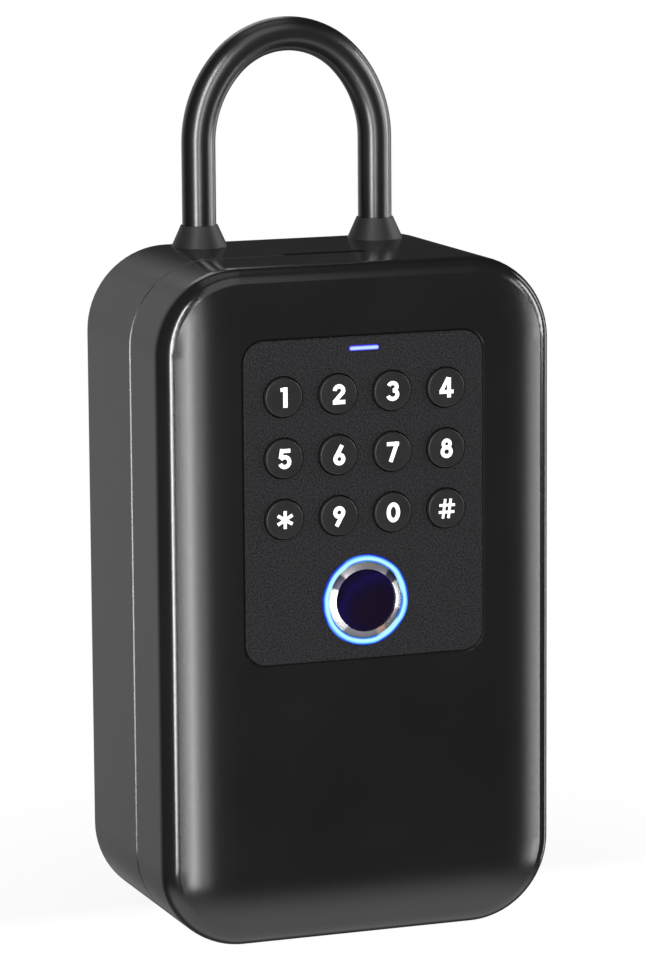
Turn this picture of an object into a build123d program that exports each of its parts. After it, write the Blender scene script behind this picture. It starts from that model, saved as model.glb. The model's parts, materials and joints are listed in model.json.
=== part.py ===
from build123d import *
import os
from math import acos, cos, pi, radians, sin, tan

# Smart key box. Millimetres. X is right, +Y is the wall side, +Z is up, the keypad faces -Y.
# The origin is under the middle of the whole box, at the height of its bottom face.

# Body outline, seen from the front
body_width = 95.5
body_height = 157.0
corner_radius = 19.5
wall = 3.0

# Depths, from the keypad side to the wall side
door_depth = 24.55
seam_gap = 0.4
case_depth = 33.05
key_proud = 0.9
total_depth = key_proud + door_depth + seam_gap + case_depth

back_y = total_depth / 2
case_rim_y = back_y - case_depth
door_rim_y = case_rim_y - seam_gap
front_y = door_rim_y - door_depth
case_floor_y = back_y - wall
inner_top = body_height - wall

# Front face: a small edge arc runs into a wide crown arc
edge_radius = 5.0
crown_radius = 46.8
crown_slope = 20.0
bevel_land = 0.05
back_edge_radius = 1.5
rim_edge_radius = 0.35
rim_edge_width = 0.4
rim_edge_depth = 0.2
recess_edge_break = 0.5

# Concealed hinge along the bottom edge
pin_radius = 1.25
pin_press_clearance = 0.02
pin_running_clearance = 0.12
barrel_radius = 2.4
barrel_lift = 0.2
hinge_y = (case_rim_y + door_rim_y) / 2
hinge_z = barrel_lift + barrel_radius
swing_clearance = 0.3
door_relief_radius = hinge_z * 2 ** 0.5 + 0.4
case_relief_radius = door_relief_radius + swing_clearance
relief_end_margin = 7.75
relief_half_length = body_width / 2 - relief_end_margin
pin_length = 2 * (relief_half_length - 6)
knuckle_gap = 0.2
middle_knuckle_half = 8.0
side_knuckle_end = 23.8
web_overlap = 0.8

# Weather seal in the rim of the case, open at the bottom
seal_width = 1.3
seal_depth = 1.5
seal_proud = 0.1
seal_side_clearance = 0.05
seal_start_z = 24.0

# Shallow finger notch in the top edge of the case
notch_width = 20.0
notch_reach = 2.6
notch_depth = 0.6

# Wall screw holes through the back of the case
wall_hole_radius = 2.5
wall_hole_spacing_x = 60.0
wall_hole_spacing_z = 80.0
wall_hole_centre_z = 65.0

# Shackle and its boots
rod_radius = 4.0
leg_spacing = 44.0
shackle_y = 21.6
bow_start_z = 181.0
bow_side_radius = 27.25
bow_top_radius = 20.0
leg_end_z = 133.0
leg_clearance = 0.3
neck_radius = 2.7
neck_height = 3.2
neck_bottom_z = 139.1
leg_end_chamfer = 0.8
boot_base_radius = 6.6
boot_top_radius = 4.35
boot_height = 5.0
boot_neck_radius = 4.9
boot_hole_clearance = 0.1

# Block that holds the legs, and the plate that locks them
block_side_margin = 12.75
block_half_width = body_width / 2 - block_side_margin
block_corner_ease = 0.5
block_front_y = 7.6
block_bottom_z = 129.0
plate_thickness = 2.0
plate_clearance = 0.2
plate_travel = 4.0
plate_inset_y = 0.5
plate_left_x = 2 - block_half_width
plate_right_x = block_half_width - plate_travel - 0.5
plate_back_y = shackle_y + 1.0
keyhole_clearance = 0.4
slot_clearance = 0.2
tab_half_width = 6.0
tab_front_y = 3.6
tab_drop = 3.0
tab_thickness = 2.0
block_screw_z = 134.0
block_screw_x = 10.0

# Strike plate under the top wall
strike_half_width = 9.0
strike_thickness = 1.8
strike_drop = 7.0
strike_tongue_z = inner_top - strike_drop
strike_front_y = -12.6
strike_web_y = -2.5
strike_screw_x = 6.0
strike_screw_y = 3.5

# Key hook on the back wall
hook_z = 112.0
hook_wire_radius = 2.0
hook_reach = 13.0
hook_rise = 9.0
hook_bend = 5.0
hook_plate_width = 24.0
hook_plate_height = 11.0
hook_plate_thickness = 1.6
hook_plate_corner = 2.0
hook_screw_x = 8.5

# Keypad panel, flush in the front
panel_width = 58.0
panel_height = 74.5
panel_corner = 5.0
panel_thickness = 2.0
panel_gap = 0.15
panel_ledge = 1.2
panel_bottom_z = 66.4
panel_edge_break = 0.25
panel_middle_z = panel_bottom_z + panel_height / 2
panel_top_z = panel_bottom_z + panel_height
panel_back_y = front_y + panel_thickness

# Keys
key_radius = 4.6
key_hole_clearance = 0.2
key_pitch_x = 13.14
key_pitch_z = 14.0
key_top_row_z = 128.0
key_travel = 0.7
key_flange_radius = 5.6
key_flange_thickness = 0.8
key_flange_gap = 0.15
key_edge_radius = 0.45
key_rows = (("1", "2", "3", "4"), ("5", "6", "7", "8"), ("star", "9", "0", "hash"))
key_flange_y = panel_back_y + key_flange_gap
key_back_y = key_flange_y + key_flange_thickness

# Status light, a bar of clear plastic
light_width = 7.3
light_height = 1.15
light_drop = 2.75
light_slot_clearance = 0.15
light_flange_width = 9.5
light_flange_height = 2.6
light_flange_thickness = 1.0

# Fingerprint reader
reader_z = 80.0
ring_radius = 10.45
ring_hole_clearance = 0.15
ring_proud = 0.2
ring_flange_radius = 11.6
ring_flange_thickness = 0.8
bezel_radius = 8.9
bezel_proud = 0.45
bezel_edge_radius = 0.25
window_radius = 7.2
window_recess = 0.1
window_thickness = 1.0
reader_fit = 0.05
reader_stem_length = 3.2
reader_flange_thickness = 1.1

# Keypad board, mat and antenna
mat_half_width = 23.2
mat_thickness = 0.8
mat_margin_z = 6.0
dome_height = 0.6
dome_base_radius = 3.2
dome_tip_radius = 2.2
dome_gap = 0.1
board_thickness = 1.6
keypad_board_half_width = 26.8
post_radius = 1.8
post_x = 24.0
post_margin_z = 4.6
antenna_half_width = 21.0
antenna_half_height = 16.5
antenna_band = 4.0
antenna_thickness = 0.25
antenna_corner = 3.0
antenna_inner_corner = 1.0
keypad_board_front_y = key_back_y + key_travel + dome_gap + dome_height + mat_thickness
keypad_board_back_y = keypad_board_front_y + board_thickness

# Control board behind the reader
board_gap = 3.4
control_board_bottom_z = 64.0
control_board_top_z = 108.0
control_post_inset_z = 3.0
header_half_width = 10.0
header_height = 2.5
header_z = 104.0
buzzer_radius = 4.5
buzzer_height = 3.0
buzzer_port_radius = 1.0
buzzer_side_inset = 12.0
buzzer_z = 90.0
chip_height = 1.2
chips = ((4.0, 84.0, 5.0), (4.0, 97.0, 3.0), (-8.0, 72.0, 3.5), (16.0, 94.0, 2.5))
control_board_side_margin = 15.75
control_post_inset_x = 2.5
control_board_half_width = body_width / 2 - control_board_side_margin
buzzer_x = buzzer_side_inset - control_board_half_width
control_post_x = control_board_half_width - control_post_inset_x
control_board_front_y = keypad_board_back_y + board_gap
control_board_back_y = control_board_front_y + board_thickness

# Inner cover that closes the back of the door
cover_recess = 0.8
cover_thickness = 2.6
cover_fit = 0.3
cover_bottom_margin = 0.5
cover_notch_half_width = 10.5
cover_notch_drop = 0.7
cover_boss_radius = 3.2
cover_boss_side_margin = 9.25
cover_boss_top_drop = 15.0
cover_boss_x = body_width / 2 - cover_boss_side_margin
cover_boss_heights = (24.0, 84.0, inner_top - cover_boss_top_drop)
cover_back_y = door_rim_y - cover_recess
cover_front_y = cover_back_y - cover_thickness

# Battery bay, moulded into the inner cover
cell_radius = 5.2
cell_edge_radius = 0.5
cell_length = 43.5
cell_nub_radius = 1.9
cell_nub_height = 1.0
cell_pitch = 11.0
cell_count = 4
cell_bottom_z = 13.2
cell_clearance = 0.25
contact_thickness = 0.4
contact_dimple = 0.7
contact_half_width = 4.0
contact_base_radius = 2.4
contact_tip_radius = 1.2
contact_play = 0.1
bay_wall = 1.2
battery_cover_half_width = 26.0
battery_cover_thickness = 1.4
battery_cover_overlap = 2.9
battery_cover_travel = 4.0
battery_cover_fit = 0.2
battery_cover_corner = 2.0
grip_half_width = 8.0
grip_height = 1.2
grip_proud = 0.45
grip_pitch = 2.4
grip_count = 3
cell_y = cover_front_y - cell_radius
bay_front_y = cell_y - cell_radius - cell_clearance
bay_half_width = cell_pitch * (cell_count - 1) / 2 + cell_radius + cell_clearance
bay_bottom_z = cell_bottom_z - contact_play - contact_dimple - contact_thickness
cell_top_z = cell_bottom_z + cell_length + cell_nub_height
bay_top_z = cell_top_z + contact_play + contact_dimple + contact_thickness

# Reset button on the inner cover
reset_side_inset = 4.0
reset_x = control_board_half_width - reset_side_inset
reset_z = 80.0
reset_radius = 2.5
reset_fit = 0.2
reset_flange_radius = 3.6
reset_flange_thickness = 0.8
reset_stem_radius = 1.2
reset_travel = 0.8
reset_proud = 0.2
switch_half_width = 3.0
switch_height = 1.2
switch_gap = 0.1

# Latch: bolt with rack, pinion, housing and gear motor
bolt_half_width = 4.1
bolt_thickness = 2.2
bolt_drop = 36.0
bolt_strike_gap = 1.3
bolt_travel = 5.5
bolt_cover_gap = 0.4
bolt_fit = 0.2
tooth_count = 10
tooth_module = 0.8
tooth_addendum = 0.65
tooth_root_depth = 0.9
tooth_half_width = 0.5
tooth_tip_half_width = 0.26
tooth_root_half_width = 0.8
rack_root_play = 0.1
rack_first_rise = 1.2
rack_tooth_count = 6
pinion_rise = 9.0
shaft_radius = 1.45
shaft_seat = 1.5
shaft_fit = 0.15
housing_side_gap = 0.8
housing_bottom_drop = 1.5
housing_height = 32.0
housing_plate = 2.3
housing_shelf = 1.3
rail_width = 2.3
rail_clearance = 0.4
housing_post_inset_x = 3.5
housing_post_rises = (6.5, 27.5)
gearbox_half_width = 6.0
gearbox_half_height = 8.0
gearbox_depth = 8.6
motor_radius = 4.2
motor_length = 20.0
bolt_bottom_z = strike_tongue_z - bolt_drop
rack_first_z = bolt_bottom_z + rack_first_rise
pinion_z = bolt_bottom_z + pinion_rise
housing_bottom_z = bolt_bottom_z - housing_bottom_drop
housing_top_z = housing_bottom_z + housing_height
housing_post_heights = tuple(housing_bottom_z + rise for rise in housing_post_rises)
bolt_back_y = cover_front_y - bolt_cover_gap
bolt_front_y = bolt_back_y - bolt_thickness
housing_back_y = bolt_front_y - bolt_fit
housing_front_y = housing_back_y - housing_plate
bolt_top_z = strike_tongue_z - bolt_strike_gap
pitch_radius = tooth_module * tooth_count / 2
rack_pitch_x = bolt_half_width + tooth_root_depth
rack_top_z = rack_first_z + (rack_tooth_count - 1) * pi * tooth_module + tooth_root_half_width
rail_start_z = rack_top_z + bolt_travel + rail_clearance
pinion_x = rack_pitch_x + pitch_radius
housing_half_width = cover_boss_x - cover_boss_radius - housing_side_gap
housing_post_x = housing_half_width - housing_post_inset_x

# Emergency power socket in the bottom of the door
socket_width = 8.9
socket_height = 3.2
socket_length = 7.2
socket_shell = 0.35
socket_y = -16.0
socket_fit = 0.2
socket_recess = 0.6
socket_tongue_width = 6.4
socket_tongue_height = 0.7
socket_flange_half_width = 8.0
socket_flange_half_depth = 3.0
socket_flange_thickness = 1.2

# Screws: head radius, head height, shank radius, shank length
small_screw = (1.9, 1.1, 0.8, 2.6)
board_screw = (2.2, 1.3, 1.0, 6.0)
latch_screw = (2.4, 1.4, 1.2, 9.0)
cover_screw = (2.5, 1.3, 1.25, 11.0)
hook_screw = (2.3, 1.1, 1.2, 3.6)
strike_screw = (2.2, 1.3, 1.2, 4.0)
block_screw = (3.0, 2.6, 1.5, 18.0)
screw_hole_clearance = 0.1
screw_hole_play = 0.3
counterbore_fit = 0.4
post_wall = 1.3
post_root_depth = 0.3


# Basic solids, each given by its place
def block(x0, x1, y0, y1, z0, z1):
    middle = Pos((x0 + x1) / 2, (y0 + y1) / 2, (z0 + z1) / 2)
    return middle * Box(x1 - x0, y1 - y0, z1 - z0)


def rod_x(y, z, radius, x0, x1):
    return Pos((x0 + x1) / 2, y, z) * Rot(0, 90, 0) * Cylinder(radius, x1 - x0)


def rod_y(x, z, radius, y0, y1):
    return Pos(x, (y0 + y1) / 2, z) * Rot(90, 0, 0) * Cylinder(radius, y1 - y0)


def rod_z(x, y, radius, z0, z1):
    return Pos(x, y, (z0 + z1) / 2) * Cylinder(radius, z1 - z0)


def slab(width, height, corner, y0, y1, x=0, z=body_height / 2):
    outline = Plane.XZ.offset(-y1) * Pos(x, z) * RectangleRounded(width, height, corner)
    return extrude(outline, amount=y1 - y0)


def pill(width, height, y0, y1, z):
    outline = Plane.XZ.offset(-y1) * Pos(0, z) * SlotOverall(width, height)
    return extrude(outline, amount=y1 - y0)


def body_slab(inset, y0, y1):
    return slab(body_width - 2 * inset, body_height - 2 * inset, corner_radius - inset, y0, y1)


def screw(sizes):
    head_radius, head_height, shank_radius, shank_length = sizes
    head = rod_z(0, 0, head_radius, 0, head_height)
    socket = extrude(Pos(0, 0, head_height / 2) * RegularPolygon(head_radius / 2, 6), amount=head_height)
    return head - socket + rod_z(0, 0, shank_radius, -shank_length, 0)


def screws_facing_back(sizes, places, seat_y):
    return Compound([Pos(x, seat_y, z) * Rot(-90, 0, 0) * screw(sizes) for x, z in places])


def screws_facing_front(sizes, places, seat_y):
    return Compound([Pos(x, seat_y, z) * Rot(90, 0, 0) * screw(sizes) for x, z in places])


def pillow(inset, y_front, y_back):
    """Body outline whose front edge is a small arc that runs into a wide crown."""
    slope = radians(crown_slope)
    edge_arc = edge_radius - inset
    edge_part = edge_arc * tan((pi / 2 - slope) / 2) + bevel_land
    corner_room = corner_radius - inset - bevel_land - edge_part * cos(slope)
    crown_part = min((crown_radius - inset) * tan(slope / 2), corner_room / (1 + cos(slope)))
    crown_arc = crown_part / tan(slope / 2)
    inward = (edge_part + crown_part) * cos(slope)
    backward = (edge_part + crown_part) * sin(slope)
    solid = body_slab(inset, y_front, y_back)
    front = solid.faces().sort_by(Axis.Y)[0]
    solid = chamfer(front.edges(), inward, backward, reference=front)
    crown_edges = solid.faces().sort_by(Axis.Y)[0].edges()
    solid = fillet(crown_edges, crown_arc)
    bevel_end_y = y_front + backward
    side_edges = solid.edges().filter_by_position(Axis.Y, bevel_end_y - 0.01, bevel_end_y + 0.01)
    return fillet(side_edges, edge_arc)


# Places that several pieces share
def mirrored(x, heights):
    return [(side * x, z) for z in heights for side in (-1, 1)]


def wall_hole_places():
    half_z = wall_hole_spacing_z / 2
    return mirrored(wall_hole_spacing_x / 2, (wall_hole_centre_z - half_z, wall_hole_centre_z + half_z))


def keypad_post_places():
    return mirrored(post_x, (panel_bottom_z + post_margin_z, panel_top_z - post_margin_z))


def control_post_places():
    low = control_board_bottom_z + control_post_inset_z
    return mirrored(control_post_x, (low, control_board_top_z - control_post_inset_z))


def housing_post_places():
    return mirrored(housing_post_x, housing_post_heights)


def cover_boss_places():
    return mirrored(cover_boss_x, cover_boss_heights)


def key_places():
    places = {}
    for row, names in enumerate(key_rows):
        for column, name in enumerate(names):
            x = (column - (len(names) - 1) / 2) * key_pitch_x
            places[name] = (x, key_top_row_z - row * key_pitch_z)
    return places


def cell_centres():
    return [(index - (cell_count - 1) / 2) * cell_pitch for index in range(cell_count)]


# Hinge
def knuckles(spans, direction, relief_radius, bore_clearance):
    """Barrels over the given spans of X, with webs that reach the bottom wall."""
    reach = hinge_y + direction * (relief_radius + web_overlap)
    solid = Part()
    for x0, x1 in spans:
        solid += rod_x(hinge_y, hinge_z, barrel_radius, x0, x1)
        solid += block(x0, x1, min(hinge_y, reach), max(hinge_y, reach), barrel_lift, wall)
    solid &= body_slab(0, hinge_y - body_height / 4, hinge_y + body_height / 4)
    return solid - rod_x(hinge_y, hinge_z, pin_radius + bore_clearance, -pin_length / 2, pin_length / 2)


def hinge_relief(radius):
    return rod_x(hinge_y, hinge_z, radius, -relief_half_length, relief_half_length)


def hinge_pin():
    return rod_x(hinge_y, hinge_z, pin_radius, -pin_length / 2, pin_length / 2)


# Case
def seal_band(extra, y0, y1):
    middle = wall / 2
    outer = body_slab(middle - seal_width / 2 - extra, y0, y1)
    inner = body_slab(middle + seal_width / 2 + extra, y0, y1)
    half = body_width / 2
    return (outer - inner) & block(-half, half, y0, y1, seal_start_z - extra, body_height)


def case_shell():
    solid = body_slab(0, case_rim_y, back_y)
    back = solid.faces().sort_by(Axis.Y)[-1]
    solid = fillet(back.edges(), back_edge_radius)
    rim = solid.faces().sort_by(Axis.Y)[0]
    solid = chamfer(rim.edges(), rim_edge_width, rim_edge_depth, reference=rim)
    solid -= body_slab(wall, case_rim_y - wall, case_floor_y)
    solid -= seal_band(seal_side_clearance, case_rim_y - seal_depth, case_rim_y + seal_depth)
    solid -= hinge_relief(case_relief_radius)
    end = relief_half_length - knuckle_gap
    inner_end = side_knuckle_end + knuckle_gap
    spans = ((-end, -inner_end), (-middle_knuckle_half, middle_knuckle_half), (inner_end, end))
    solid += knuckles(spans, 1, case_relief_radius, pin_press_clearance)
    half_notch = notch_width / 2
    solid -= block(-half_notch, half_notch, case_rim_y - 1, case_rim_y + notch_reach,
                   body_height - notch_depth, body_height + 1)
    for x, z in wall_hole_places():
        solid -= rod_y(x, z, wall_hole_radius, case_floor_y - wall, back_y + wall)
    for side in (-1, 1):
        hole_radius = boot_neck_radius + boot_hole_clearance
        solid -= rod_z(side * leg_spacing / 2, shackle_y, hole_radius, inner_top - wall, body_height + wall)
        solid -= rod_y(side * block_screw_x, block_screw_z, block_screw[2] + screw_hole_clearance,
                       case_floor_y - wall, case_floor_y + block_screw_bite() + screw_hole_clearance)
        solid -= rod_z(side * strike_screw_x, strike_screw_y, strike_screw[2] + screw_hole_clearance,
                       inner_top - wall, strike_screw_top() + screw_hole_clearance)
        solid -= rod_y(side * hook_screw_x, hook_z, hook_screw[2] + screw_hole_clearance,
                       case_floor_y - wall, hook_screw_end() + screw_hole_clearance)
    return solid


def door_seal():
    return seal_band(0, case_rim_y - seal_proud, case_rim_y + seal_depth)


def shackle_boot(side):
    x = side * leg_spacing / 2
    base = Pos(x, shackle_y, body_height + boot_height / 2)
    solid = base * Cone(boot_base_radius, boot_top_radius, boot_height)
    solid += rod_z(x, shackle_y, boot_neck_radius, inner_top, body_height)
    bore = rod_z(x, shackle_y, rod_radius + leg_clearance, inner_top - 1, body_height + boot_height + 1)
    return solid - bore


# Shackle, its block and its lock plate
def plate_bottom_z():
    return neck_bottom_z + (neck_height - plate_thickness) / 2


def block_screw_seat_y():
    return block_front_y + block_screw[1] + screw_hole_clearance


def block_screw_bite():
    return block_screw_seat_y() + block_screw[3] - case_floor_y


def shackle_block():
    solid = block(-block_half_width, block_half_width, block_front_y, case_floor_y, block_bottom_z, inner_top)
    solid &= slab(body_width - 2 * wall, body_height - 2 * wall, corner_radius - wall + block_corner_ease,
                  block_front_y, case_floor_y)
    slot_bottom = plate_bottom_z() - plate_clearance
    slot_top = plate_bottom_z() + plate_thickness + plate_clearance
    solid -= block(plate_left_x - plate_clearance, plate_right_x + plate_travel + plate_clearance,
                   block_front_y - 1, plate_back_y + plate_clearance, slot_bottom, slot_top)
    for side in (-1, 1):
        solid -= rod_z(side * leg_spacing / 2, shackle_y, rod_radius + leg_clearance,
                       leg_end_z - leg_clearance, inner_top + 1)
        solid -= rod_y(side * block_screw_x, block_screw_z, block_screw[2] + screw_hole_play,
                       block_front_y - 1, case_floor_y + 1)
        solid -= rod_y(side * block_screw_x, block_screw_z, block_screw[0] + counterbore_fit,
                       block_front_y - 1, block_screw_seat_y())
    return solid


def block_screws():
    return screws_facing_front(block_screw, mirrored(block_screw_x, (block_screw_z,)), block_screw_seat_y())


def lock_plate():
    """A comb that is open to the back: its front half slides into the necks of the legs."""
    z0 = plate_bottom_z()
    z1 = z0 + plate_thickness
    solid = block(plate_left_x, plate_right_x, block_front_y + plate_inset_y, plate_back_y, z0, z1)
    tab_back_y = tab_front_y + tab_thickness
    solid += block(-tab_half_width, tab_half_width, tab_front_y, block_front_y + 1, z0, z1)
    solid += block(-tab_half_width, tab_half_width, tab_front_y, tab_back_y, z0 - tab_drop, z1)
    half_slot = neck_radius + slot_clearance
    for side in (-1, 1):
        x = side * leg_spacing / 2
        solid -= rod_z(x, shackle_y, rod_radius + keyhole_clearance, z0 - 1, z1 + 1)
        solid -= rod_z(x - plate_travel, shackle_y, half_slot, z0 - 1, z1 + 1)
        solid -= block(x - plate_travel, x, shackle_y - half_slot, shackle_y + half_slot, z0 - 1, z1 + 1)
    return solid


def bow_arcs():
    """The bow in three arcs: a wide one up from each leg, and a tighter one over the top."""
    side_reach = bow_side_radius - leg_spacing / 2
    radius_drop = bow_side_radius - bow_top_radius
    turn = acos(side_reach / radius_drop)
    top_centre_z = bow_start_z + radius_drop * sin(turn)

    def side_point(side, angle):
        x = bow_side_radius * cos(angle) - side_reach
        return side * x, shackle_y, bow_start_z + bow_side_radius * sin(angle)

    left = ThreePointArc(side_point(-1, 0), side_point(-1, turn / 2), side_point(-1, turn))
    top = (0, shackle_y, top_centre_z + bow_top_radius)
    over = ThreePointArc(side_point(-1, turn), top, side_point(1, turn))
    right = ThreePointArc(side_point(1, turn), side_point(1, turn / 2), side_point(1, 0))
    return left, over, right


def shackle():
    half = leg_spacing / 2
    path = Wire([Line((-half, shackle_y, leg_end_z), (-half, shackle_y, bow_start_z)), *bow_arcs(),
                 Line((half, shackle_y, bow_start_z), (half, shackle_y, leg_end_z))])
    section = Plane(origin=(-half, shackle_y, leg_end_z), z_dir=(0, 0, 1)) * Circle(rod_radius)
    solid = sweep(section, path=path)
    leg_ends = solid.edges().filter_by_position(Axis.Z, leg_end_z - 0.01, leg_end_z + 0.01)
    solid = chamfer(leg_ends, leg_end_chamfer)
    for side in (-1, 1):
        ring = rod_z(side * half, shackle_y, rod_radius + 1, neck_bottom_z, neck_bottom_z + neck_height)
        ring -= rod_z(side * half, shackle_y, neck_radius, neck_bottom_z, neck_bottom_z + neck_height)
        solid -= ring
    return solid


# Strike plate and key hook
def strike_screw_top():
    return inner_top - strike_thickness + strike_screw[3]


def strike_plate():
    half = strike_half_width
    top = inner_top
    solid = block(-half, half, strike_web_y, block_front_y - plate_clearance, top - strike_thickness, top)
    solid += block(-half, half, strike_web_y, strike_web_y + strike_thickness, strike_tongue_z, top)
    tongue_top = strike_tongue_z + strike_thickness
    solid += block(-half, half, strike_front_y, strike_web_y + strike_thickness, strike_tongue_z, tongue_top)
    hole_x = bolt_half_width + screw_hole_play
    solid -= block(-hole_x, hole_x, bolt_front_y - screw_hole_play, bolt_back_y + screw_hole_play,
                   strike_tongue_z - 1, tongue_top + 1)
    for side in (-1, 1):
        solid -= rod_z(side * strike_screw_x, strike_screw_y, strike_screw[2] + screw_hole_play,
                       top - strike_thickness - 1, top + 1)
    return solid


def strike_screws():
    seat = inner_top - strike_thickness
    places = [Pos(side * strike_screw_x, strike_screw_y, seat) for side in (-1, 1)]
    return Compound([place * Rot(180, 0, 0) * screw(strike_screw) for place in places])


def hook_screw_end():
    return case_floor_y - hook_plate_thickness + hook_screw[3]


def key_hook():
    plate_y = case_floor_y - hook_plate_thickness
    solid = slab(hook_plate_width, hook_plate_height, hook_plate_corner, plate_y, case_floor_y, z=hook_z)
    for side in (-1, 1):
        hole_radius = hook_screw[2] + screw_hole_play
        solid -= rod_y(side * hook_screw_x, hook_z, hole_radius, plate_y - 1, case_floor_y + 1)
    start = (0, plate_y + 0.5, hook_z)
    corner = (0, plate_y - hook_reach, hook_z)
    tip = (0, plate_y - hook_reach, hook_z + hook_rise)
    path = FilletPolyline(start, corner, tip, radius=hook_bend)
    section = Plane(origin=start, z_dir=(0, -1, 0)) * Circle(hook_wire_radius)
    solid += sweep(section, path=path)
    return solid + Pos(*tip) * Sphere(hook_wire_radius)


def hook_screws():
    seat = case_floor_y - hook_plate_thickness
    return screws_facing_front(hook_screw, mirrored(hook_screw_x, (hook_z,)), seat)


# Door
def door_post(x, z, screw_sizes, seat_y):
    bore = screw_sizes[2] + screw_hole_clearance
    root_y = front_y + wall - post_root_depth
    post = rod_y(x, z, bore + post_wall, root_y, seat_y)
    return post, rod_y(x, z, bore, seat_y - screw_sizes[3] - screw_hole_play, seat_y + 1)


def door_shell():
    solid = pillow(0, front_y, door_rim_y)
    solid = fillet(solid.faces().sort_by(Axis.Y)[-1].edges(), rim_edge_radius)
    solid -= pillow(wall, front_y + wall, door_rim_y) + body_slab(wall, door_rim_y - wall, door_rim_y + wall)
    recess_corner = panel_corner + panel_gap
    solid -= slab(panel_width + 2 * panel_gap, panel_height + 2 * panel_gap, recess_corner,
                  front_y - 1, panel_back_y, z=panel_middle_z)
    edge_reach = panel_gap + recess_edge_break
    edge_cutter = slab(panel_width + 2 * edge_reach, panel_height + 2 * edge_reach, panel_corner + edge_reach,
                       front_y - 1, front_y + recess_edge_break, z=panel_middle_z)
    solid -= chamfer(edge_cutter.faces().sort_by(Axis.Y)[-1].edges(), recess_edge_break)
    solid -= slab(panel_width - 2 * panel_ledge, panel_height - 2 * panel_ledge, panel_corner - panel_ledge,
                  panel_back_y - 1, front_y + 2 * wall, z=panel_middle_z)
    solid -= hinge_relief(door_relief_radius)
    inner_end = middle_knuckle_half + knuckle_gap
    spans = ((-side_knuckle_end, -inner_end), (inner_end, side_knuckle_end))
    solid += knuckles(spans, -1, door_relief_radius, pin_running_clearance)
    solid -= slab(socket_width + 2 * socket_fit, socket_height + 2 * socket_fit, socket_height / 2,
                  -1, wall + 1, z=0).rotate(Axis.X, 90).moved(Pos(0, socket_y, 0))
    posts = [door_post(x, z, board_screw, control_board_front_y) for x, z in control_post_places()]
    posts += [door_post(x, z, latch_screw, housing_front_y) for x, z in housing_post_places()]
    for x, z in cover_boss_places():
        post, bore = door_post(x, z, cover_screw, cover_front_y)
        root_y = front_y + wall - post_root_depth
        posts.append((rod_y(x, z, cover_boss_radius, root_y, cover_front_y), bore))
    for post, bore in posts:
        solid += post
    for post, bore in posts:
        solid -= bore
    return solid


def keypad_panel():
    solid = slab(panel_width, panel_height, panel_corner, front_y, panel_back_y, z=panel_middle_z)
    front = solid.faces().sort_by(Axis.Y)[0]
    solid = chamfer(front.edges(), panel_edge_break)
    for x, z in key_places().values():
        solid -= rod_y(x, z, key_radius + key_hole_clearance, front_y - 1, panel_back_y + 1)
    solid -= rod_y(0, reader_z, ring_radius + ring_hole_clearance, front_y - 1, panel_back_y + 1)
    solid -= pill(light_width + 2 * light_slot_clearance, light_height + 2 * light_slot_clearance,
                  front_y - 1, panel_back_y + 1, panel_top_z - light_drop)
    for x, z in keypad_post_places():
        solid += rod_y(x, z, post_radius, panel_back_y, keypad_board_front_y)
        solid -= rod_y(x, z, small_screw[2] + screw_hole_clearance,
                       keypad_board_back_y - small_screw[3] - screw_hole_clearance, keypad_board_front_y + 1)
    return solid


def key(x, z):
    cap = rod_y(x, z, key_radius, front_y - key_proud, key_flange_y)
    rim = cap.edges().filter_by(GeomType.CIRCLE).sort_by(Axis.Y)[0]
    cap = fillet(rim, key_edge_radius)
    return cap + rod_y(x, z, key_flange_radius, key_flange_y, key_back_y)


def status_light():
    z = panel_top_z - light_drop
    solid = pill(light_width, light_height, front_y, keypad_board_front_y, z)
    return solid + pill(light_flange_width, light_flange_height, panel_back_y,
                        panel_back_y + light_flange_thickness, z)


def reader_flange_y():
    return keypad_board_front_y - reader_flange_thickness


def light_ring():
    solid = rod_y(0, reader_z, ring_radius, front_y - ring_proud, reader_flange_y())
    solid += rod_y(0, reader_z, ring_flange_radius, panel_back_y, panel_back_y + ring_flange_thickness)
    return solid - rod_y(0, reader_z, bezel_radius + reader_fit, front_y - 1, keypad_board_front_y)


def sensor_bezel():
    solid = rod_y(0, reader_z, bezel_radius, front_y - bezel_proud, reader_flange_y())
    rim = solid.edges().filter_by(GeomType.CIRCLE).sort_by(Axis.Y)[0]
    solid = fillet(rim, bezel_edge_radius)
    return solid - rod_y(0, reader_z, window_radius + reader_fit, front_y - 1, keypad_board_front_y)


def sensor_window():
    window_y = front_y + window_recess
    return rod_y(0, reader_z, window_radius, window_y, window_y + window_thickness)


def sensor_body():
    window_seat_y = front_y + window_recess + window_thickness
    solid = rod_y(0, reader_z, window_radius, window_seat_y, keypad_board_back_y + reader_stem_length / 2)
    return solid + rod_y(0, reader_z, ring_flange_radius, reader_flange_y(), keypad_board_front_y)


def mat_span_z():
    rows = [z for x, z in key_places().values()]
    return min(rows) - mat_margin_z, max(rows) + mat_margin_z


def keypad_mat():
    low, high = mat_span_z()
    base_y = keypad_board_front_y - mat_thickness
    solid = block(-mat_half_width, mat_half_width, base_y, keypad_board_front_y, low, high)
    for x, z in key_places().values():
        dome = Cone(dome_base_radius, dome_tip_radius, dome_height)
        solid += Pos(x, base_y - dome_height / 2, z) * Rot(90, 0, 0) * dome
    return solid


def keypad_board():
    low = panel_bottom_z + panel_ledge
    high = panel_top_z - panel_ledge
    half = keypad_board_half_width
    y0 = keypad_board_front_y
    y1 = keypad_board_back_y
    solid = block(-half, half, y0, y1, low, high)
    solid -= rod_y(0, reader_z, window_radius + reader_fit, y0 - 1, y1 + 1)
    for x, z in keypad_post_places():
        solid -= rod_y(x, z, small_screw[2] + screw_hole_play, y0 - 1, y1 + 1)
    return solid


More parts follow.
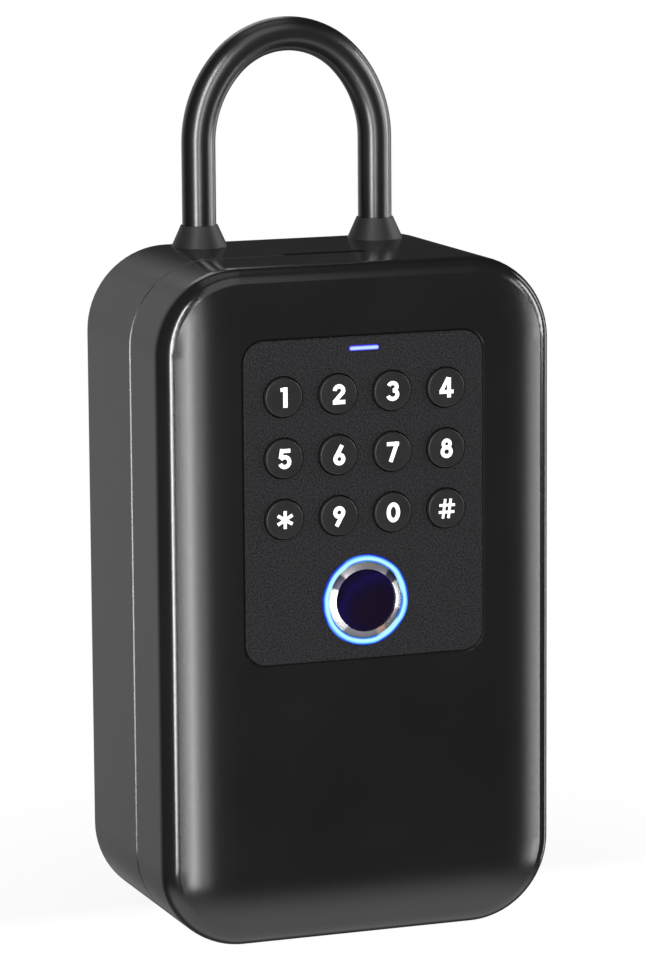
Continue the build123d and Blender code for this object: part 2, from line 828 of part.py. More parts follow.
def card_antenna():
    middle = sum(mat_span_z()) / 2
    y0 = keypad_board_back_y
    y1 = y0 + antenna_thickness
    outer = slab(2 * antenna_half_width, 2 * antenna_half_height, antenna_corner, y0, y1, z=middle)
    inner_width = 2 * (antenna_half_width - antenna_band)
    inner_height = 2 * (antenna_half_height - antenna_band)
    return outer - slab(inner_width, inner_height, antenna_inner_corner, y0 - 1, y1 + 1, z=middle)


def board_header():
    z0 = header_z - header_height / 2
    return block(-header_half_width, header_half_width, keypad_board_back_y, control_board_front_y,
                 z0, z0 + header_height)


def board_part(x, z, half_side, height):
    y0 = control_board_back_y
    return block(x - half_side, x + half_side, y0, y0 + height, z - half_side, z + half_side)


def control_board():
    half = control_board_half_width
    y0 = control_board_front_y
    y1 = control_board_back_y
    solid = block(-half, half, y0, y1, control_board_bottom_z, control_board_top_z)
    for x, z in control_post_places():
        solid -= rod_y(x, z, board_screw[2] + screw_hole_play, y0 - 1, y1 + 1)
    solid += board_part(reset_x, reset_z, switch_half_width, switch_height)
    for x, z, half_side in chips:
        solid += board_part(x, z, half_side, chip_height)
    return solid


def buzzer():
    back_face_y = control_board_back_y + buzzer_height
    solid = rod_y(buzzer_x, buzzer_z, buzzer_radius, control_board_back_y, back_face_y)
    port_end_y = back_face_y - buzzer_height / 2
    return solid - rod_y(buzzer_x, buzzer_z, buzzer_port_radius, port_end_y, back_face_y + 1)


def keypad_screws():
    return screws_facing_back(small_screw, keypad_post_places(), keypad_board_back_y)


def board_screws():
    return screws_facing_back(board_screw, control_post_places(), control_board_back_y)


# Inner cover and batteries
def battery_cover_span_z():
    return bay_bottom_z - battery_cover_overlap, bay_top_z + battery_cover_overlap


def battery_cover():
    low, high = battery_cover_span_z()
    inner_y = cover_back_y - battery_cover_thickness
    solid = slab(2 * battery_cover_half_width, high - low, battery_cover_corner, inner_y, cover_back_y,
                 z=(low + high) / 2)
    for index in range(grip_count):
        z0 = high - (index + 2) * grip_pitch
        solid += block(-grip_half_width, grip_half_width, cover_back_y - 0.2, cover_back_y + grip_proud,
                       z0, z0 + grip_height)
    return solid


def inner_cover():
    solid = body_slab(wall + cover_fit, cover_front_y, cover_back_y)
    bottom = hinge_z + door_relief_radius + cover_bottom_margin
    solid -= block(-body_width, body_width, cover_front_y - 1, cover_back_y + 1, -1, bottom)
    solid -= block(-cover_notch_half_width, cover_notch_half_width, cover_front_y - 1, cover_back_y + 1,
                   strike_tongue_z - cover_notch_drop, body_height)
    bay_outer = bay_half_width + bay_wall
    solid += block(-bay_outer, bay_outer, bay_front_y - bay_wall, cover_front_y,
                   bay_bottom_z - bay_wall, bay_top_z + bay_wall)
    solid -= block(-bay_half_width, bay_half_width, bay_front_y, cover_back_y + 1, bay_bottom_z, bay_top_z)
    low, high = battery_cover_span_z()
    low -= battery_cover_fit
    high += battery_cover_travel + battery_cover_fit
    solid -= slab(2 * (battery_cover_half_width + battery_cover_fit), high - low, battery_cover_corner,
                  cover_back_y - battery_cover_thickness - battery_cover_fit / 2, cover_back_y + 1,
                  z=(low + high) / 2)
    solid -= rod_y(reset_x, reset_z, reset_radius + reset_fit, cover_front_y - 1, cover_back_y + 1)
    for x, z in cover_boss_places():
        solid -= rod_y(x, z, cover_screw[2] + screw_hole_play, cover_front_y - 1, cover_back_y + 1)
        solid -= rod_y(x, z, cover_screw[0] + counterbore_fit, cover_screw_seat_y(), cover_back_y + 1)
    return solid


def cover_screw_seat_y():
    return cover_back_y - cover_screw[1] - screw_hole_clearance


def inner_cover_screws():
    return screws_facing_back(cover_screw, cover_boss_places(), cover_screw_seat_y())


def battery(index):
    """One cell; every second one stands on its head."""
    body = rod_z(0, 0, cell_radius, 0, cell_length)
    body = fillet(body.edges().filter_by(GeomType.CIRCLE), cell_edge_radius)
    cell = body + rod_z(0, 0, cell_nub_radius, cell_length, cell_length + cell_nub_height)
    place = Pos(cell_centres()[index], cell_y, cell_bottom_z)
    if index % 2:
        return place * Pos(0, 0, cell_length + cell_nub_height) * Rot(180, 0, 0) * cell
    return place * cell


def battery_contacts():
    contacts = []
    half = contact_half_width
    for x in cell_centres():
        for wall_z, direction in ((bay_bottom_z, 1), (bay_top_z, -1)):
            face_z = wall_z + direction * contact_thickness
            low, high = sorted((wall_z, face_z))
            plate = block(x - half, x + half, cell_y - half, cell_y + half, low, high)
            tip = Cone(contact_base_radius, contact_tip_radius, contact_dimple)
            turn = Rot(0, 0, 0) if direction > 0 else Rot(180, 0, 0)
            contacts.append(plate + Pos(x, cell_y, face_z + direction * contact_dimple / 2) * turn * tip)
    return Compound(contacts)


def reset_button():
    flange_back_y = cover_front_y - reset_fit
    flange_front_y = flange_back_y - reset_flange_thickness
    stem_end_y = control_board_back_y + switch_height + reset_travel + switch_gap
    solid = rod_y(reset_x, reset_z, reset_radius, flange_front_y, cover_back_y + reset_proud)
    solid += rod_y(reset_x, reset_z, reset_flange_radius, flange_front_y, flange_back_y)
    return solid + rod_y(reset_x, reset_z, reset_stem_radius, stem_end_y, flange_back_y)


# Latch
def tooth_outline(root, tip):
    """A tooth with straight flanks; root and tip are distances from the pitch line."""
    points = [(-root, -tooth_root_half_width), (0, -tooth_half_width), (tip, -tooth_tip_half_width),
              (tip, tooth_tip_half_width), (0, tooth_half_width), (-root, tooth_root_half_width)]
    return make_face(Polyline(*points, close=True))


def latch_bolt():
    solid = block(-bolt_half_width, bolt_half_width, bolt_front_y, bolt_back_y, bolt_bottom_z, bolt_top_z)
    pitch = pi * tooth_module
    tooth = extrude(tooth_outline(tooth_root_depth + rack_root_play, tooth_addendum), amount=bolt_thickness)
    for index in range(rack_tooth_count):
        place = Pos(rack_pitch_x, bolt_back_y, rack_first_z + index * pitch) * Rot(90, 0, 0)
        solid += place * tooth
    return solid


def lock_pinion():
    thickness = bolt_thickness - bolt_fit
    root_radius = pitch_radius - tooth_root_depth
    root = tooth_root_depth + rack_root_play * 3
    tooth = extrude(tooth_outline(root, tooth_addendum), amount=thickness)
    teeth = Cylinder(root_radius, thickness, align=(Align.CENTER, Align.CENTER, Align.MIN))
    for index in range(tooth_count):
        turn = 360 / tooth_count * (index + pinion_phase())
        teeth += Rot(0, 0, turn) * Pos(pitch_radius, 0, 0) * tooth
    gear_back_y = bolt_back_y - bolt_fit / 2
    solid = Pos(pinion_x, gear_back_y, pinion_z) * Rot(90, 0, 0) * teeth
    return solid + rod_y(pinion_x, pinion_z, shaft_radius, housing_front_y - shaft_seat, gear_back_y)


def pinion_phase():
    """Turns the pinion so that its teeth stand in the gaps of the rack, as a share of one tooth."""
    pitch = pi * tooth_module
    return (pinion_z - rack_first_z) / pitch % 1 - 0.5


def latch_housing():
    half = housing_half_width
    rail_back_y = cover_front_y - bolt_cover_gap / 2
    inner = bolt_half_width + bolt_fit
    outer = inner + rail_width
    solid = block(-half, half, housing_front_y, housing_back_y, housing_bottom_z, housing_top_z)
    solid += block(-outer, -inner, housing_back_y, rail_back_y, housing_bottom_z, housing_top_z)
    solid += block(inner, outer, housing_back_y, rail_back_y, rail_start_z, housing_top_z)
    shelf_top_z = housing_bottom_z + housing_shelf
    solid += block(-outer, outer, housing_back_y, rail_back_y, housing_bottom_z, shelf_top_z)
    solid -= rod_y(pinion_x, pinion_z, shaft_radius + 1, housing_front_y - 1, housing_back_y + 1)
    for x, z in housing_post_places():
        solid -= rod_y(x, z, latch_screw[2] + screw_hole_play, housing_front_y - 1, housing_back_y + 1)
    return solid


def latch_screws():
    return screws_facing_back(latch_screw, housing_post_places(), housing_back_y)


def lock_motor():
    left = pinion_x - gearbox_half_width
    right = pinion_x + gearbox_half_width
    gearbox_front_y = housing_front_y - gearbox_depth
    solid = block(left, right, gearbox_front_y, housing_front_y,
                  pinion_z - gearbox_half_height, pinion_z + gearbox_half_height)
    middle_y = housing_front_y - gearbox_depth / 2
    solid += rod_x(middle_y, pinion_z, motor_radius, left - motor_length, left)
    seat = rod_y(pinion_x, pinion_z, shaft_radius + shaft_fit,
                 housing_front_y - shaft_seat - shaft_fit, housing_front_y + 1)
    return solid - seat


# Power socket
def usb_socket():
    flat = RectangleRounded(socket_width, socket_height, socket_height / 2 - 0.01)
    hollow = RectangleRounded(socket_width - 2 * socket_shell, socket_height - 2 * socket_shell,
                              socket_height / 2 - socket_shell - 0.01)
    solid = extrude(flat, amount=socket_length) - Pos(0, 0, -1) * extrude(hollow, amount=socket_length)
    tongue = Box(socket_tongue_width, socket_tongue_height, socket_length - 1,
                 align=(Align.CENTER, Align.CENTER, Align.MIN))
    solid += Pos(0, 0, 1) * tongue
    flange = Box(2 * socket_flange_half_width, 2 * socket_flange_half_depth, socket_flange_thickness,
                 align=(Align.CENTER, Align.CENTER, Align.MIN))
    solid += Pos(0, 0, wall - socket_recess) * flange - Pos(0, 0, -1) * extrude(flat, amount=socket_length)
    return Pos(0, socket_y, socket_recess) * solid


pieces = {
    "case_shell": case_shell(),
    "hinge_pin": hinge_pin(),
    "door_seal": door_seal(),
    "shackle_boot_left": shackle_boot(-1),
    "shackle_boot_right": shackle_boot(1),
    "shackle_block": shackle_block(),
    "block_screws": block_screws(),
    "lock_plate": lock_plate(),
    "shackle": shackle(),
    "strike_plate": strike_plate(),
    "strike_screws": strike_screws(),
    "key_hook": key_hook(),
    "hook_screws": hook_screws(),
    "door_shell": door_shell(),
    "keypad_panel": keypad_panel(),
    "status_light": status_light(),
    "light_ring": light_ring(),
    "sensor_bezel": sensor_bezel(),
    "sensor_window": sensor_window(),
    "sensor_body": sensor_body(),
    "keypad_mat": keypad_mat(),
    "keypad_board": keypad_board(),
    "keypad_screws": keypad_screws(),
    "card_antenna": card_antenna(),
    "board_header": board_header(),
    "control_board": control_board(),
    "board_screws": board_screws(),
    "buzzer": buzzer(),
    "inner_cover": inner_cover(),
    "inner_cover_screws": inner_cover_screws(),
    "battery_cover": battery_cover(),
    "battery_contacts": battery_contacts(),
    "reset_button": reset_button(),
    "latch_bolt": latch_bolt(),
    "lock_pinion": lock_pinion(),
    "latch_housing": latch_housing(),
    "latch_screws": latch_screws(),
    "lock_motor": lock_motor(),
    "usb_socket": usb_socket(),
}
for name, place in key_places().items():
    pieces["key_" + name] = key(*place)
for number in range(cell_count):
    pieces["battery_" + str(number + 1)] = battery(number)

os.makedirs("parts", exist_ok=True)
for name, shape in pieces.items():
    export_step(shape, "parts/" + name + ".step")
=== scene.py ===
"""The looks of the smart key box: its finishes, glowing key legends, camera and studio light.

All shapes are in metres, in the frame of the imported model. X runs to the right, Y to the back and Z up.
"""

import json
from math import cos, pi, radians, sin, tan

import bpy
from mathutils import Matrix, Vector


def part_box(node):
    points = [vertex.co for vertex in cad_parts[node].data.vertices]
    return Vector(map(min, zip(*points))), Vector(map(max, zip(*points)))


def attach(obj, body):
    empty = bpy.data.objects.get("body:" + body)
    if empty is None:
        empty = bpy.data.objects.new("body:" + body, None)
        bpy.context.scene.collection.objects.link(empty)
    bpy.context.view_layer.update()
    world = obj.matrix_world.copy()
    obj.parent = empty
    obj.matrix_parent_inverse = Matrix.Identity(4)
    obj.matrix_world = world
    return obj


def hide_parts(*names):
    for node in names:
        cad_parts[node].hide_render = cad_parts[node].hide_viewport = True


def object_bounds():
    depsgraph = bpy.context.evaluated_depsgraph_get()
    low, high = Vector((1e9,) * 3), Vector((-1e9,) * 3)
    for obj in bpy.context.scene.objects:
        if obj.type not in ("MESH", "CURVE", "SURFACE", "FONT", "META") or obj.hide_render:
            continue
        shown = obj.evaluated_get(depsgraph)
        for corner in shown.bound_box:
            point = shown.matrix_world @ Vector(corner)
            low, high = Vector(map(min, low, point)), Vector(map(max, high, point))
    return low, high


MM = 0.001

# The camera, as fitted to the photograph.
camera_azimuth = radians(20.359)
camera_elevation = radians(9.585)
camera_roll = radians(-0.404)
camera_distance = 1.061
camera_target = Vector((-0.01064, -0.02945, 0.10734))
camera_lens = 173.55
sensor_width = 36
clip_near = 0.05
clip_far = 20

# The keys and their legends.
key_radius = 4.5 * MM
key_flange_radius = 5.6 * MM
key_flange_thickness = 0.8 * MM
key_edge_radius = 0.42 * MM
key_face_depth = 0.012 * MM
legend_depth = 0.004 * MM
legend_half_height = 2.3
legend_stroke = 0.96

# How finely curves are drawn, and the radius of the tiny bore that a turned piece keeps on its axis.
arc_steps = 28
turn_steps = 96
sharp_angle = radians(35)
axis_radius = 0.001 * MM

# The finger reader and the status light.
bezel_inner_radius = 7.2 * MM
bezel_outer_radius = 8.9 * MM
bezel_slope = 0.1 * MM
bezel_face_fall = 0.5 * MM
bezel_edge_radius = 0.14 * MM
ring_outer_radius = 10.45 * MM
bar_half_length = 3.65 * MM
bar_half_height = 0.575 * MM

# The studio.
lamp_distance = 1.2
room_level = 0.25
floor_radius = 0.42
floor_rings = 6
floor_edge_y = 0.006
floor_edge_fade = 0.09
floor_shadow_start = 0.042
floor_shadow_end = 0.168
floor_drop = 0.0002

# Upright soft boxes: plan angle from the front to the left and half width in degrees, lower and upper end
# in metres, and radiance.
upright_lamps = {
    "front_left_box": (11.5, 5, -0.5, 0.9, 1.5),
    "front_left_core": (15.8, 1.7, -0.5, 0.9, 10.5),
    "left_strip": (40.5, 3.2, -0.27, 1.1, 22),
    "right_front_box": (-58, 5, -0.5, 0.75, 1.3),
    "right_front_core": (-61, 1.8, -0.5, 0.75, 6),
    "right_strip": (-80, 5, 0.0, 0.75, 10),
    "right_back_strip": (-112, 5, -0.5, 0.75, 2.5),
}

# High square soft boxes: position, side and radiance.
high_lamps = {
    "front_top_box": ((0.05, -0.75, 1.1), 0.7, 0.8),
    "top_box": ((0, 0.1, 1.3), 0.7, 0.4),
    "back_box": ((0.1, 1.0, 0.9), 0.6, 1.0),
}

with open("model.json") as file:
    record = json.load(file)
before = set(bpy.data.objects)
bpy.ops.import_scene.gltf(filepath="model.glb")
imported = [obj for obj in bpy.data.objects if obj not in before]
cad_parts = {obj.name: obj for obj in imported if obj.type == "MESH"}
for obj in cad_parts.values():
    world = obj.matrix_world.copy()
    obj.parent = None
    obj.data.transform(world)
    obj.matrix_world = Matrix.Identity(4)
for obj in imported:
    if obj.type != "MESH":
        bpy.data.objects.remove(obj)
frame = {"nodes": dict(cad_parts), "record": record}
cad_low, cad_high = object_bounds()


def node_centre(name):
    low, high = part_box(name)
    return (low + high) / 2


# Materials. Each helper adds one kind of node and links it.


def new_material(name):
    material = bpy.data.materials.new(name)
    material.use_nodes = True
    return material, material.node_tree.nodes["Principled BSDF"]


def add(material, kind, inputs=None, **settings):
    node = material.node_tree.nodes.new(kind)
    for setting, value in settings.items():
        setattr(node, setting, value)
    for socket, value in (inputs or {}).items():
        if isinstance(value, bpy.types.NodeSocket):
            material.node_tree.links.new(value, node.inputs[socket])
        else:
            node.inputs[socket].default_value = value
    return node


def link(material, output, target):
    material.node_tree.links.new(output, target)


def place(material):
    return add(material, "ShaderNodeTexCoord").outputs["Object"]


def noise(material, feature_mm, detail=3.0, roughness=0.5, vector=None):
    inputs = {
        "Vector": vector or place(material),
        "Scale": 1000 / feature_mm,
        "Detail": detail,
        "Roughness": roughness,
    }
    return add(material, "ShaderNodeTexNoise", inputs).outputs["Fac"]


def calculate(material, operation, first, second=0.0, clamp=False):
    node = add(material, "ShaderNodeMath", {0: first, 1: second}, operation=operation, use_clamp=clamp)
    return node.outputs[0]


def rescale(material, value, low, high, new_low, new_high):
    inputs = {"Value": value, "From Min": low, "From Max": high, "To Min": new_low, "To Max": new_high}
    return add(material, "ShaderNodeMapRange", inputs, interpolation_type="SMOOTHSTEP").outputs["Result"]


def ramp(material, value, stops, interpolation="LINEAR"):
    node = add(material, "ShaderNodeValToRGB", {"Fac": value})
    node.color_ramp.interpolation = interpolation
    elements = node.color_ramp.elements
    while len(elements) < len(stops):
        elements.new(0.5)
    for element, (position, colour) in zip(elements, stops):
        element.position = position
        element.color = (*colour, 1)
    return node.outputs["Color"]


def bump(material, height, depth_mm, normal=None):
    inputs = {"Height": height, "Distance": depth_mm * MM, "Strength": 1.0}
    if normal:
        inputs["Normal"] = normal
    return add(material, "ShaderNodeBump", inputs).outputs["Normal"]


def shade_of(colour, factor):
    return tuple(min(1.0, part * factor) for part in colour)


def moulded(name, colour, roughness, grain_mm, grain_depth_mm, specular=0.5, metallic=0.0, spread=0.12):
    """A plain finish with fine grain, and broad slight changes of colour and gloss."""
    material, shader = new_material(name)
    patches = noise(material, 18, detail=4)
    tint = ramp(material, patches, [(0.3, shade_of(colour, 1 - spread)), (0.7, shade_of(colour, 1 + spread))])
    link(material, tint, shader.inputs["Base Color"])
    gloss = rescale(material, patches, 0.3, 0.7, roughness * 0.93, min(1.0, roughness * 1.07))
    link(material, gloss, shader.inputs["Roughness"])
    grain = noise(material, grain_mm, detail=2, roughness=0.6)
    link(material, bump(material, grain, grain_depth_mm), shader.inputs["Normal"])
    shader.inputs["Specular IOR Level"].default_value = specular
    shader.inputs["Metallic"].default_value = metallic
    return material


def brushed(name, colour, roughness, stretch, line_mm=0.25, depth_mm=0.004):
    """Bare metal with fine lines, drawn out along the axes where stretch is small."""
    material, shader = new_material(name)
    stretched = add(material, "ShaderNodeMapping", {"Vector": place(material), "Scale": stretch}).outputs[0]
    lines = noise(material, line_mm, detail=3, vector=stretched)
    patches = noise(material, 12, detail=3)
    tint = ramp(material, patches, [(0.3, shade_of(colour, 0.88)), (0.7, shade_of(colour, 1.08))])
    link(material, tint, shader.inputs["Base Color"])
    gloss = rescale(material, lines, 0.3, 0.7, roughness * 0.8, roughness * 1.25)
    link(material, gloss, shader.inputs["Roughness"])
    link(material, bump(material, lines, depth_mm), shader.inputs["Normal"])
    shader.inputs["Metallic"].default_value = 1.0
    return material


def radius_about(material, centre):
    """The distance of a point of the front from the middle of the reader, in millimetres."""
    moved = add(material, "ShaderNodeMapping", {"Vector": place(material), "Location": -centre}).outputs[0]
    parts = add(material, "ShaderNodeSeparateXYZ", {0: moved})
    flat = add(material, "ShaderNodeCombineXYZ", {0: parts.outputs[0], 2: parts.outputs[2]}).outputs[0]
    length = add(material, "ShaderNodeVectorMath", {0: flat}, operation="LENGTH").outputs["Value"]
    return calculate(material, "MULTIPLY", length, 1000)


def glow(material, shader, colour):
    link(material, colour, shader.inputs["Emission Color"])
    shader.inputs["Emission Strength"].default_value = 1.0


def shell_paint():
    material, shader = new_material("satin_black_paint")
    patches = noise(material, 30, detail=4)
    tint = ramp(material, patches, [(0.3, (0.0105, 0.0105, 0.0107)), (0.7, (0.013, 0.013, 0.0133))])
    link(material, tint, shader.inputs["Base Color"])
    fine = noise(material, 0.3, detail=3, roughness=0.7)
    link(material, rescale(material, fine, 0.3, 0.7, 0.16, 0.19), shader.inputs["Roughness"])
    link(material, bump(material, fine, 0.003), shader.inputs["Normal"])
    shader.inputs["Specular IOR Level"].default_value = 0.85
    return material


def shackle_gloss():
    material, shader = new_material("gloss_black_enamel")
    waves = noise(material, 5, detail=2)
    fine = noise(material, 0.4, detail=3)
    tint = ramp(material, waves, [(0.3, (0.005, 0.005, 0.0052)), (0.7, (0.006, 0.006, 0.0062))])
    link(material, tint, shader.inputs["Base Color"])
    link(material, rescale(material, fine, 0.3, 0.7, 0.36, 0.4), shader.inputs["Roughness"])
    link(material, bump(material, waves, 0.004, bump(material, fine, 0.0012)), shader.inputs["Normal"])
    shader.inputs["Specular IOR Level"].default_value = 0.35
    shader.inputs["Coat Weight"].default_value = 1.0
    shader.inputs["Coat Roughness"].default_value = 0.27
    shader.inputs["Coat IOR"].default_value = 1.75
    return material


def panel_plastic():
    material, shader = new_material("sandy_black_panel")
    sand = noise(material, 0.42, detail=2, roughness=0.7)
    tint = ramp(material, sand, [(0.4, (0.008, 0.008, 0.0088)), (0.62, (0.026, 0.026, 0.029))])
    link(material, tint, shader.inputs["Base Color"])
    link(material, rescale(material, sand, 0.35, 0.65, 0.5, 0.62), shader.inputs["Roughness"])
    link(material, bump(material, sand, 0.05), shader.inputs["Normal"])
    shader.inputs["Specular IOR Level"].default_value = 0.22
    return material


def key_plastic(front_y):
    """Smooth keys, dull and darker down their sides: painted shade, where little light gets in."""
    material, shader = new_material("key_plastic")
    across = add(material, "ShaderNodeSeparateXYZ", {0: place(material)}).outputs[1]
    # Painted shade: behind the key's face, its sides go nearly black for the shadow in the gap round each key.
    depth = rescale(material, across, front_y + 0.16 * MM, front_y + 0.36 * MM, 0.0, 1.0)
    link(material, ramp(material, depth, [(0.0, (0.014, 0.014, 0.0148)), (1.0, (0.001, 0.001, 0.001))]),
         shader.inputs["Base Color"])
    patches = noise(material, 6, detail=3)
    gloss = calculate(material, "ADD", rescale(material, patches, 0.3, 0.7, 0.4, 0.48), depth, True)
    link(material, gloss, shader.inputs["Roughness"])
    link(material, bump(material, noise(material, 0.25), 0.003), shader.inputs["Normal"])
    shader.inputs["Specular IOR Level"].default_value = 0.45
    return material


def light_plastic(centre):
    """The lit bar: pale blue in its middle, violet towards its rim."""
    material, shader = new_material("lit_status_bar")
    moved = add(material, "ShaderNodeMapping", {"Vector": place(material), "Location": -centre}).outputs[0]
    parts = add(material, "ShaderNodeSeparateXYZ", {0: moved})
    along = calculate(material, "ABSOLUTE", parts.outputs[0])
    straight_half = bar_half_length - bar_half_height
    past_end = calculate(material, "MAXIMUM", calculate(material, "SUBTRACT", along, straight_half))
    flat = add(material, "ShaderNodeCombineXYZ", {0: past_end, 2: parts.outputs[2]}).outputs[0]
    length = add(material, "ShaderNodeVectorMath", {0: flat}, operation="LENGTH").outputs["Value"]
    share = calculate(material, "DIVIDE", length, bar_half_height)
    cloud = noise(material, 1.5)
    share = calculate(material, "ADD", share, calculate(material, "MULTIPLY", cloud, 0.15))
    stops = [(0.15, (0.62, 0.9, 1.0)), (0.6, (0.36, 0.5, 1.0)), (1.0, (0.05, 0.02, 0.7))]
    glow(material, shader, ramp(material, share, stops))
    shader.inputs["Base Color"].default_value = (0.02, 0.02, 0.08, 1)
    shader.inputs["Roughness"].default_value = 0.35
    return material


def ring_plastic(centre):
    """The lit ring: nearly white next to the bezel, sky blue further out and deep blue at its rim."""
    material, shader = new_material("lit_ring")
    radius = radius_about(material, centre)
    share = rescale(material, radius, bezel_outer_radius / MM, ring_outer_radius / MM, 0.0, 1.0)
    cloud = noise(material, 7, detail=1)
    share = calculate(material, "ADD", share, rescale(material, cloud, 0.35, 0.65, -0.08, 0.08))
    stops = [
        (0.0, (0.03, 0.2, 0.75)),
        (0.08, (0.45, 0.85, 1.0)),
        (0.4, (0.55, 0.95, 1.0)),
        (0.68, (0.3, 0.82, 1.0)),
        (0.86, (0.1, 0.42, 1.0)),
        (0.94, (0.006, 0.03, 0.7)),
        (1.0, (0.006, 0.004, 0.35)),
    ]
    glow(material, shader, ramp(material, share, stops))
    shader.inputs["Base Color"].default_value = (0.02, 0.05, 0.12, 1)
    shader.inputs["Roughness"].default_value = 0.3
    return material


def bezel_steel(centre):
    """Turned steel. Its fine rings draw the light of a bright room out into rays, so its tint goes by angle:
    painted reflections of white, grey, dark and coppery rays.
    """
    material, shader = new_material("turned_steel")
    moved = add(material, "ShaderNodeMapping", {"Vector": place(material), "Location": -centre}).outputs[0]
    parts = add(material, "ShaderNodeSeparateXYZ", {0: moved})
    angle = calculate(material, "ARCTAN2", parts.outputs[2], parts.outputs[0])
    share = calculate(material, "ADD", calculate(material, "DIVIDE", angle, 2 * pi), 0.5)
    # Painted reflection: these colours stand in for the bright room mirrored in the turned rings.
    white, lilac, grey, dark = (0.95, 0.95, 0.96), (0.88, 0.86, 0.9), (0.3, 0.29, 0.32), (0.1, 0.095, 0.14)
    copper = (0.7, 0.45, 0.38)
    rays = [(white, 0.0), (grey, 0.142), (copper, 0.305), (grey, 0.347), (white, 0.45), (dark, 0.58),
            (lilac, 0.639), (dark, 0.869), (white, 0.942)]
    stops = [(0.0, white)]
    for (before, _), (colour, start) in zip(rays, rays[1:]):
        stops += [(start - 0.006, before), (start + 0.006, colour)]
    link(material, ramp(material, share, stops), shader.inputs["Base Color"])
    radius = radius_about(material, centre)
    ring_inputs = {"W": radius, "Scale": 14.0, "Detail": 2.0}
    rings = add(material, "ShaderNodeTexNoise", ring_inputs, noise_dimensions="1D")
    link(material, bump(material, rings.outputs["Fac"], 0.003), shader.inputs["Normal"])
    shader.inputs["Metallic"].default_value = 1.0
    shader.inputs["Roughness"].default_value = 0.3
    shader.inputs["Anisotropic"].default_value = 0.5
    tangent = add(material, "ShaderNodeTangent", direction_type="RADIAL", axis="Y").outputs[0]
    link(material, tangent, shader.inputs["Tangent"])
    return material


def window_plastic(centre):
    """The reader's dark glass, with a faint blue light inside it."""
    material, shader = new_material("reader_glass")
    radius = radius_about(material, centre + Vector((2.2, 0, -2.2)) * MM)
    share = rescale(material, radius, 0.0, 10.5, 0.0, 1.0)
    cloud = noise(material, 6, detail=1)
    share = calculate(material, "ADD", share, rescale(material, cloud, 0.35, 0.65, -0.06, 0.06))
    stops = [(0.2, (0.006, 0.002, 0.006)), (0.5, (0.0045, 0.002, 0.012)), (0.8, (0.0045, 0.003, 0.045)),
             (0.95, (0.003, 0.001, 0.009))]
    glow(material, shader, ramp(material, share, stops))
    shader.inputs["Base Color"].default_value = (0.004, 0.003, 0.01, 1)
    shader.inputs["Roughness"].default_value = 0.18
    shader.inputs["Specular IOR Level"].default_value = 0.2
    return material


def circuit_board():
    """Green board under solder resist, with the faint raised lines of its tracks."""
    material, shader = new_material("circuit_board")
    cells = add(
        material,
        "ShaderNodeTexVoronoi",
        {"Vector": place(material), "Scale": 420.0},
        distance="MANHATTAN",
        feature="DISTANCE_TO_EDGE",
    ).outputs["Distance"]
    track = rescale(material, cells, 0.04, 0.09, 1.0, 0.0)
    tint = ramp(material, track, [(0.0, (0.006, 0.06, 0.024)), (1.0, (0.014, 0.13, 0.05))])
    link(material, tint, shader.inputs["Base Color"])
    link(material, bump(material, track, 0.03), shader.inputs["Normal"])
    shader.inputs["Roughness"].default_value = 0.32
    return material


def battery_sleeve(cell):
    """A plain dark sleeve with a coppery band near the top, and bare metal ends."""
    low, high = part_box(cell)
    material, shader = new_material("battery_sleeve")
    height = add(material, "ShaderNodeSeparateXYZ", {0: place(material)}).outputs[2]
    share = rescale(material, height, low.z, high.z, 0.0, 1.0)
    grey, dark, copper = (0.55, 0.55, 0.54), (0.022, 0.022, 0.024), (0.45, 0.2, 0.08)
    bands = [(0.0, grey), (0.012, dark), (0.74, copper), (0.955, grey)]
    link(material, ramp(material, share, bands, "CONSTANT"), shader.inputs["Base Color"])
    grain = noise(material, 0.8, detail=3)
    link(material, bump(material, grain, 0.01), shader.inputs["Normal"])
    link(material, rescale(material, grain, 0.3, 0.7, 0.26, 0.36), shader.inputs["Roughness"])
    shader.inputs["Metallic"].default_value = 0.35
    return material


def legend_light():
    """The lit key legends, a little less bright where the light behind them is uneven."""
    material, shader = new_material("lit_legend")
    tint = ramp(material, noise(material, 1.2, detail=1), [(0.3, (0.9, 0.95, 1.0)), (0.6, (1.0, 1.0, 1.0))])
    glow(material, shader, tint)
    shader.inputs["Base Color"].default_value = (0.5, 0.52, 0.55, 1)
    shader.inputs["Roughness"].default_value = 0.45
    return material


